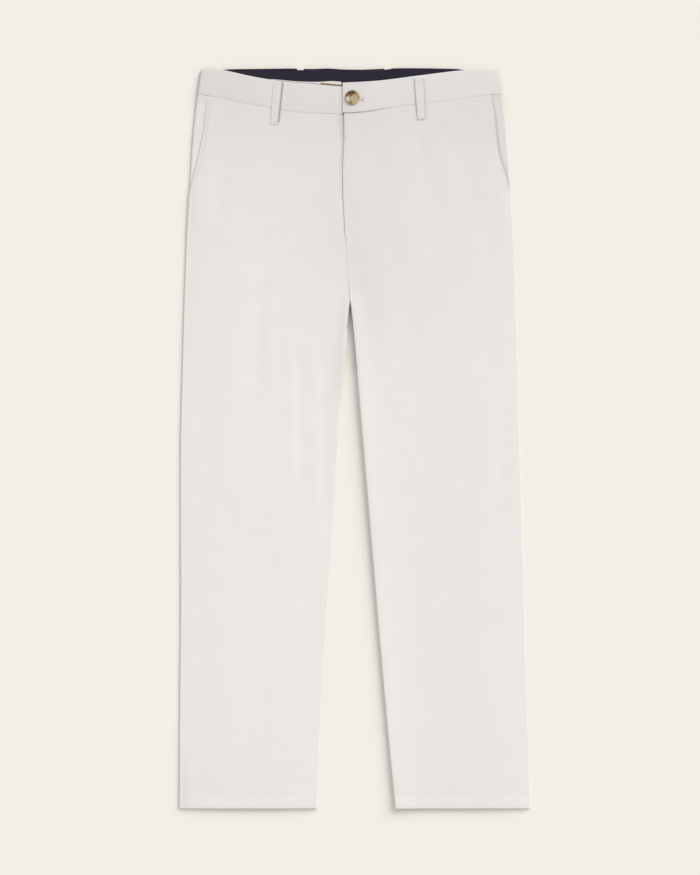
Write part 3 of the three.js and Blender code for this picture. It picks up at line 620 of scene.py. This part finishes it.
# The left back loop's folded end is shorter, and slants up to its outer corner
LOOP_END_SHORTER = 0.4
LOOP_END_SLANT = 1.3
LOOP_END_X = (43, 54)
FOLDED_OVER_Z = 4.2
FOLDED_BELOW_Y = 546.5
places = places_of(loops[3])
folded = (places[:, 2] > FOLDED_OVER_Z) & (places[:, 1] < FOLDED_BELOW_Y)
slant = LOOP_END_SLANT * part_way(places[:, 0], *LOOP_END_X)
places[:, 1] += folded * (LOOP_END_SHORTER + slant)
put_places(loops[3], places)
# The loops' painted shading: the right front one a little lighter, and painted shade beside
# their sides
for loop in loops:
    paint_shading(loop, ((-110, 1.015), (90, 0.998)), shades=SHADES)


# Sewing: a slightly darker cotton thread in short stitches that sink into the cloth. Each
# stitch is a rounded rod, laid at the height of the pieces under it.
thread = cloth_material("thread", (0.72, 0.68, 0.65), (0.66, 0.62, 0.59), rib=0.3, fuzz=0.05)
# Along a stitch: the share of its length, and its thickness there
STITCH_SHAPE = ((0, 0.25), (0.18, 0.8), (0.5, 1), (0.82, 0.8), (1, 0.25))
STITCH_CORNERS = 6
# How thick a stitch is over its width, and its rise as a share of half that thickness
STITCH_FLATNESS = 0.8
STITCH_RAISE = 0.6


def surface_of(piece):
    """A tree that finds the piece's height under a place."""
    mesh = bmesh.new()
    mesh.from_mesh(piece.data)
    tree = BVHTree.FromBMesh(mesh)
    mesh.free()
    return tree


def height_at(trees, x, y):
    """The highest point of the surfaces at a place in mm, in metres."""
    start = Vector((x * MM, y * MM, 0.1))
    found = [tree.ray_cast(start, Vector((0, 0, -1)))[0] for tree in trees]
    heights = [point.z for point in found if point is not None]
    return max(heights) if heights else 0.0


def place_along(points, far):
    """The place this far along a line of points, or the line's end."""
    for a, b in zip(points, points[1:]):
        span = (b - a).length
        if far <= span:
            return a + (b - a) * (far / span)
        far -= span
    return points[-1]


def add_stitch(mesh, start, end, trees, width, sink):
    """Adds one stitch from a start to an end, as rings of points joined by faces."""
    across = Vector((-(end - start).y, (end - start).x)).normalized() * width / 2
    rings = []
    for share, swell in STITCH_SHAPE:
        middle = start.lerp(end, share)
        base = height_at(trees, middle.x, middle.y) / MM - sink
        ring = []
        for corner in range(STITCH_CORNERS):
            angle = 2 * math.pi * corner / STITCH_CORNERS
            spot = middle + across * math.cos(angle) * swell
            rise = STITCH_FLATNESS * width / 2 * swell * (math.sin(angle) + STITCH_RAISE)
            ring.append(mesh.verts.new((spot.x * MM, spot.y * MM, (base + rise) * MM)))
        rings.append(ring)
    for lower, upper in zip(rings, rings[1:]):
        for k in range(STITCH_CORNERS):
            j = (k + 1) % STITCH_CORNERS
            mesh.faces.new((lower[k], lower[j], upper[j], upper[k]))
    mesh.faces.new(list(reversed(rings[0])))
    mesh.faces.new(rings[-1])


def stitches(
    name, lines, trees, length=2.3, gap=0.8, width=0.42, sink=0.10, material=thread
):
    """Short stitches along lines of (x, y) places, on the surfaces' height, all in mm."""
    mesh = bmesh.new()
    for line in lines:
        points = [Vector(place) for place in line]
        total = sum((b - a).length for a, b in zip(points, points[1:]))
        count = max(int(total / (length + gap)), 1)
        for i in range(count):
            start = place_along(points, i * total / count)
            end = place_along(points, min(i * total / count + length, total))
            add_stitch(mesh, start, end, trees, width, sink)
    bmesh.ops.recalc_face_normals(mesh, faces=mesh.faces)
    data = bpy.data.meshes.new(name)
    mesh.to_mesh(data)
    mesh.free()
    piece = bpy.data.objects.new(name, data)
    scene.collection.objects.link(piece)
    data.materials.append(material)
    for polygon in data.polygons:
        polygon.use_smooth = True
    paint_shading(piece)
    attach(piece, "root")
    return piece


tree_right = surface_of(front_right)
tree_left = surface_of(front_left)

# Edge stitching along the slant pockets, about 5 mm in from each mouth.
POCKET_RIGHT = (
    (-213.5, 500), (-216.5, 475), (-219.5, 450), (-225.6, 421), (-231.8, 394), (-236.4, 375),
)
POCKET_LEFT = (
    (197.6, 503), (202, 479), (205, 450), (208.5, 425), (213.4, 403), (219.6, 384), (224.4, 364),
)
stitches("stitch_pocket_right", [POCKET_RIGHT], [tree_right])
stitches("stitch_pocket_left", [POCKET_LEFT], [tree_left])

# Edge stitching down the fly, and the two short rows that tack its foot.
FLY_EDGE = ((-13.6, 480), (-13.2, 447), (-15, 425), (-15.8, 400), (-14.8, 353), (-12.4, 308))
stitches("stitch_fly", [FLY_EDGE], [tree_left])
FLY_FOOT = (((-12.6, 302), (-2, 302.8), (7, 304.5)), ((-12.2, 296.4), (-2, 296.8), (6, 298)))
stitches("stitch_fly_foot", FLY_FOOT, [tree_left])

# One row of stitching across each hem's front, 17 mm up. The back's is a line of shade.
HEM_LINE = -531
hem_right = [((-254, HEM_LINE), (-62, HEM_LINE))]
hem_left = [((64, HEM_LINE), (253, HEM_LINE))]
stitches("stitch_hem_right", hem_right, [tree_right])
stitches("stitch_hem_left", hem_left, [tree_left])

# A row of stitching runs along the left band's top. The buttonhole has a slit with upright
# stitches along both its sides and a bar of stitches across its end.
tree_band = surface_of(band_left)
BAND_ROW = ((-15, 524.4), (8, 525.2), (26, 525.4), (53, 529.2), (84, 533.0))
PURL_X = np.arange(4.0, 10.8, 0.62)
PURL_Y = ((501.2, 502.9), (500.8, 499.1))
BAR_X = (11.2, 11.75, 12.3, 12.85)
BAR_Y = (497.2, 505.2)
stitches("stitch_band_left", [BAND_ROW], [tree_band], width=0.36, sink=0.14)
purls = [((x, near), (x, far)) for near, far in PURL_Y for x in PURL_X]
stitches("stitch_buttonhole", purls, [tree_band], length=1.7, width=0.5, sink=0.05)
bar = [((x, BAR_Y[0]), (x, BAR_Y[1])) for x in BAR_X]
stitches("stitch_buttonhole_bar", bar, [tree_band], length=8.0, width=0.55, sink=0.05)

# Close rows of stitches tack each front loop down at its foot and near its top.
LOOP_TACKS = (
    # x from, x to, y
    (-123.0, -114.6, 466.2), (-122.9, -114.5, 467.0), (-119.2, -108.9, 524.0),
    (-119.2, -108.9, 523.2), (94.0, 103.1, 473.7), (94.0, 103.0, 474.5),
    (89.2, 99.8, 528.8), (89.3, 99.8, 528.0),
)
tacks = [((x0, y), (x1, y)) for x0, x1, y in LOOP_TACKS]
loop_trees = [surface_of(loop) for loop in loops[:2]]
stitches("stitch_loop_tacks", tacks, loop_trees, length=1.3, gap=0.25, width=0.4, sink=0.06)

# The closed zip lies hidden under the flap. Its tape is woven polyester with a coil of fine
# round teeth along its middle, and its slider is brushed metal.
ZIP_FROM_FLY = 14
COIL_WIDTH = 4.6
COIL_PITCH = 1.25
COIL_SLANT = 0.3
tape_cloth = cloth_material("tape", (0.70, 0.65, 0.58), (0.62, 0.57, 0.50), rib=0.5)
tape = refined("fly_zip_tape", "zip_tape", 1, tape_cloth)
paint_shading(tape)
teeth = []
fly_y, fly_x = zip(*sorted((y, x) for x, y in FLY))
for y in np.arange(310, 455, COIL_PITCH):
    middle = np.interp(y, fly_y, fly_x) + ZIP_FROM_FLY
    teeth.append(((middle - COIL_WIDTH / 2, y), (middle + COIL_WIDTH / 2, y + COIL_SLANT)))
tape_trees = [surface_of(tape)]
stitches(
    "zip_coil", teeth, tape_trees, length=COIL_WIDTH, width=0.85, sink=0.4, material=tape_cloth
)
slider_metal = bpy.data.materials.new("brushed_metal")
slider_metal.use_nodes = True
nodes, links = slider_metal.node_tree.nodes, slider_metal.node_tree.links
metal_shader = nodes["Principled BSDF"]
metal_shader.inputs["Base Color"].default_value = (0.45, 0.42, 0.38, 1)
metal_shader.inputs["Metallic"].default_value = 1
metal_place = nodes.new("ShaderNodeTexCoord")
metal_stretch = nodes.new("ShaderNodeMapping")
metal_stretch.inputs["Scale"].default_value = (6000, 400, 6000)
links.new(metal_place.outputs["Object"], metal_stretch.inputs["Vector"])
metal_grain = nodes.new("ShaderNodeTexNoise")
metal_grain.inputs["Scale"].default_value = 1
links.new(metal_stretch.outputs["Vector"], metal_grain.inputs["Vector"])
metal_rough = nodes.new("ShaderNodeMapRange")
metal_rough.inputs["To Min"].default_value = 0.3
metal_rough.inputs["To Max"].default_value = 0.5
links.new(metal_grain.outputs["Fac"], metal_rough.inputs["Value"])
links.new(metal_rough.outputs["Result"], metal_shader.inputs["Roughness"])
metal_bump = nodes.new("ShaderNodeBump")
metal_bump.inputs["Strength"].default_value = 0.2
metal_bump.inputs["Distance"].default_value = 0.02 * MM
links.new(metal_grain.outputs["Fac"], metal_bump.inputs["Height"])
links.new(metal_bump.outputs["Normal"], metal_shader.inputs["Normal"])
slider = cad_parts["fly_zip_slider"]
slider.material_slots[0].link = "OBJECT"
slider.material_slots[0].material = slider_metal

# The waist button is a smooth disc in mottled brown horn, with a raised rim and four holes.
# It is drawn out ring by ring from the middle of its back, round to the middle of its face,
# and then drilled.
BUTTON_X, BUTTON_Y = -3.8, 504.2
BUTTON_ROUND = 64
HOLE_OFFSET = 2.4
HOLE_RADIUS = 1.0
HOLE_TURN = 25
button_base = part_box("waist_button")[0][2] / MM
button_middle = (BUTTON_X * MM, BUTTON_Y * MM, button_base * MM)
BUTTON_PROFILE = (
    # radius, height over the back
    (8.6, 0.0), (9.8, 0.25), (10.45, 0.9), (10.5, 1.6), (10.2, 2.25), (9.5, 2.7),
    (8.8, 2.75), (8.1, 2.5), (7.4, 2.05), (6.4, 1.85), (3.2, 1.85),
)
bpy.ops.object.select_all(action="DESELECT")
bpy.ops.mesh.primitive_circle_add(
    vertices=BUTTON_ROUND,
    radius=BUTTON_PROFILE[0][0] * MM,
    fill_type="TRIFAN",
    location=button_middle,
)
button = bpy.context.object
button.name = "button"
button.data.name = "button"
bpy.ops.object.transform_apply(location=True)
bpy.ops.object.mode_set(mode="EDIT")
bpy.ops.mesh.select_mode(type="EDGE")
bpy.ops.mesh.select_all(action="DESELECT")
bpy.ops.mesh.select_non_manifold()
for (radius, rise), (next_radius, next_rise) in zip(BUTTON_PROFILE, BUTTON_PROFILE[1:]):
    growth = next_radius / radius
    bpy.ops.mesh.extrude_edges_move(
        TRANSFORM_OT_translate={"value": (0, 0, (next_rise - rise) * MM)}
    )
    bpy.ops.transform.resize(value=(growth, growth, 1), center_override=button_middle)
bpy.ops.mesh.extrude_edges_move()
bpy.ops.mesh.merge(type="CENTER")
bpy.ops.mesh.select_all(action="SELECT")
bpy.ops.mesh.normals_make_consistent(inside=False)
bpy.ops.object.mode_set(mode="OBJECT")
BUTTON_HOLES = [
    (
        BUTTON_X + HOLE_OFFSET * math.cos(math.radians(HOLE_TURN + 90 * quarter)),
        BUTTON_Y + HOLE_OFFSET * math.sin(math.radians(HOLE_TURN + 90 * quarter)),
    )
    for quarter in range(4)
]
for hole_x, hole_y in BUTTON_HOLES:
    bpy.ops.mesh.primitive_cylinder_add(
        vertices=24,
        radius=HOLE_RADIUS * MM,
        depth=8 * MM,
        location=(hole_x * MM, hole_y * MM, button_base * MM),
    )
    drill = bpy.context.object
    select_only(button)
    cut = button.modifiers.new("hole", "BOOLEAN")
    cut.operation = "DIFFERENCE"
    cut.object = drill
    bpy.ops.object.modifier_apply(modifier="hole")
    bpy.data.objects.remove(drill)
select_only(button)
bpy.ops.object.shade_smooth_by_angle(angle=math.radians(35))

horn = bpy.data.materials.new("horn")
horn.use_nodes = True
nodes, links = horn.node_tree.nodes, horn.node_tree.links
horn_shader = nodes["Principled BSDF"]
horn_shader.inputs["Roughness"].default_value = 0.45
horn_shader.inputs["Coat Weight"].default_value = 0.1
horn_place = nodes.new("ShaderNodeTexCoord")
horn_warp = nodes.new("ShaderNodeTexNoise")
horn_warp.inputs["Scale"].default_value = 260
horn_warp.inputs["Detail"].default_value = 3
links.new(horn_place.outputs["Object"], horn_warp.inputs["Vector"])
# The noise moves a place by half of this many mm on average
HORN_WARP = 5
horn_bent = nodes.new("ShaderNodeVectorMath")
horn_bent.operation = "MULTIPLY_ADD"
horn_bent.inputs[1].default_value = (HORN_WARP * MM, HORN_WARP * MM, 0)
links.new(horn_warp.outputs["Color"], horn_bent.inputs[0])
links.new(horn_place.outputs["Object"], horn_bent.inputs[2])
# Horn colours, and the patches that each one makes: the place from the middle, and how big
HORN_PALE = (0.57, 0.51, 0.38, 1)
HORN_TAN = (0.52, 0.39, 0.22, 1)
HORN_AMBER = (0.31, 0.17, 0.05, 1)
HORN_DARK = (0.11, 0.055, 0.015, 1)
HORN_PATCHES = (
    (6.5, -1, 7, HORN_TAN),
    (3.5, -7.5, 5, HORN_TAN),
    (10.5, 0.5, 3, HORN_AMBER),
    (-5.5, 5, 5.5, HORN_DARK),
    (-0.5, 8.5, 4.5, HORN_DARK),
    (-6, 2.5, 2.5, HORN_AMBER),
    (-7.5, -3, 5, HORN_PALE),
    (-3, -7.5, 4, HORN_AMBER),
    (-0.5, -1, 4, HORN_PALE),
)
# The shares of a patch's size between which it fades out, and the height of the face
PATCH_FADE = (0.55, 1.15)
FACE_HEIGHT = 2
horn_colour = HORN_AMBER
for patch_x, patch_y, size, colour in HORN_PATCHES:
    far = nodes.new("ShaderNodeVectorMath")
    far.operation = "DISTANCE"
    far.inputs[1].default_value = (
        (BUTTON_X + patch_x + HORN_WARP / 2) * MM,
        (BUTTON_Y + patch_y + HORN_WARP / 2) * MM,
        (button_base + FACE_HEIGHT) * MM,
    )
    links.new(horn_bent.outputs[0], far.inputs[0])
    fade = nodes.new("ShaderNodeMapRange")
    fade.interpolation_type = "SMOOTHSTEP"
    fade.inputs["From Min"].default_value = size * PATCH_FADE[0] * MM
    fade.inputs["From Max"].default_value = size * PATCH_FADE[1] * MM
    fade.inputs["To Min"].default_value = 1
    fade.inputs["To Max"].default_value = 0
    links.new(far.outputs["Value"], fade.inputs["Value"])
    horn_colour = mixed(horn, fade.outputs["Result"], horn_colour, colour)
links.new(horn_colour, horn_shader.inputs["Base Color"])
button.data.materials.append(horn)
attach(button, "root")
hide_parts("waist_button")

# White thread holds the button, in two short strands from hole to hole.
strands = [BUTTON_HOLES[:2], BUTTON_HOLES[2:]]
button_trees = [surface_of(button), tree_band]
stitches("stitch_button", strands, button_trees, length=3.4, gap=0, width=0.8, sink=0.05)
